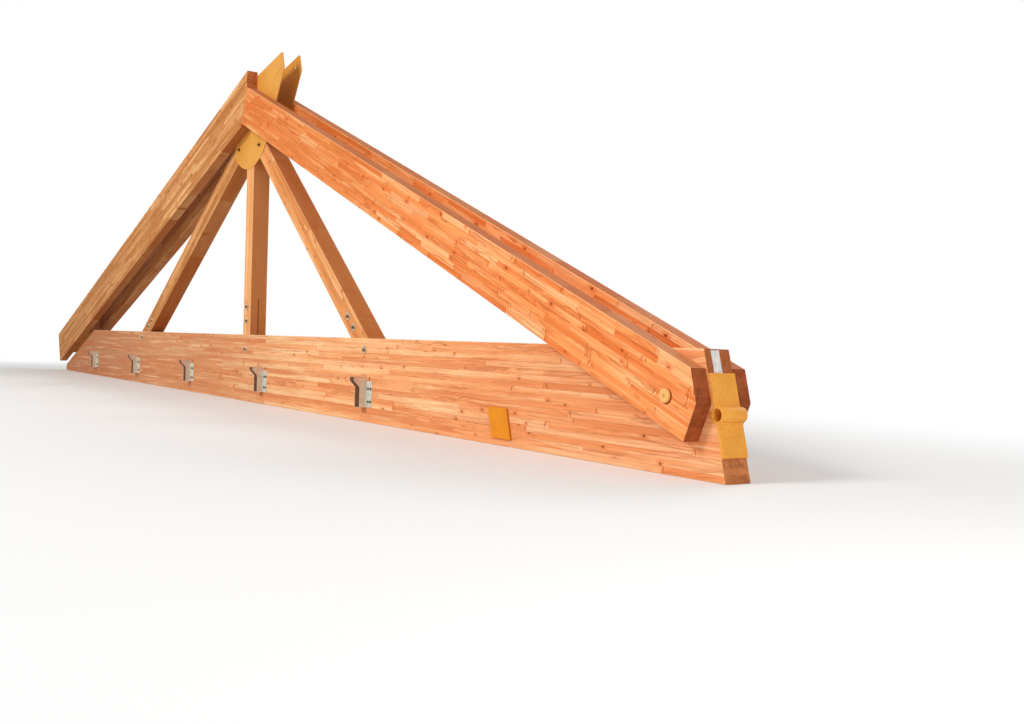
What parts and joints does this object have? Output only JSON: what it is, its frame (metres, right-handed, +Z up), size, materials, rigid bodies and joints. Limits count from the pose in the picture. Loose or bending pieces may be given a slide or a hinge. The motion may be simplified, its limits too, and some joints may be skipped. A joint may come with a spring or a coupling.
{
  "type": "timber roof truss",
  "caption": "Glued laminated timber roof truss: deep bottom chord, paired unequal rafters, king post and diagonals, painted steel ridge plates, heel pin and end fitting.",
  "frame": {"origin": "middle of the truss's length and thickness, at the underside of the bottom chord", "axes": "+X along the truss towards the pinned end of the short side, +Y through its thickness away from the face with the hangers, +Z up"},
  "size_m": [12.675, 0.35, 2.816],
  "materials": {
    "chord_timber": "planed, clear stain",
    "left_rafter_timber": "planed, clear stain",
    "right_rafter_timber": "planed, clear stain",
    "web_timber": "planed, clear stain",
    "ochre_paint": "semi-matt ochre paint",
    "galvanised_steel": "hot-dip galvanised",
    "bolt_steel": "zinc-plated"
  },
  "bodies": {
    "root": {"bottom_chord": "chord_timber", "near_left_rafter": "left_rafter_timber", "far_left_rafter": "left_rafter_timber", "near_right_rafter": "right_rafter_timber", "far_right_rafter": "right_rafter_timber", "king_post": "web_timber", "left_diagonal": "web_timber", "right_diagonal": "web_timber", "near_apex_gusset": "ochre_paint", "far_apex_gusset": "ochre_paint", "end_fitting": "ochre_paint", "heel_pin": "ochre_paint", "side_plate": "ochre_paint", "left_heel_shoe": "ochre_paint", "heel_rafter_dowels": "bolt_steel", "heel_chord_dowels": "bolt_steel", "hanger_1": "galvanised_steel", "hanger_2": "galvanised_steel", "hanger_3": "galvanised_steel", "hanger_4": "galvanised_steel", "hanger_5": "galvanised_steel", "post_foot_plate": "galvanised_steel", "post_foot_bolts": "bolt_steel", "left_foot_plate": "galvanised_steel", "left_foot_bolts": "bolt_steel", "right_foot_plate": "galvanised_steel", "right_foot_bolts": "bolt_steel", "apex_bolts": "bolt_steel"}
  },
  "joints": []
}
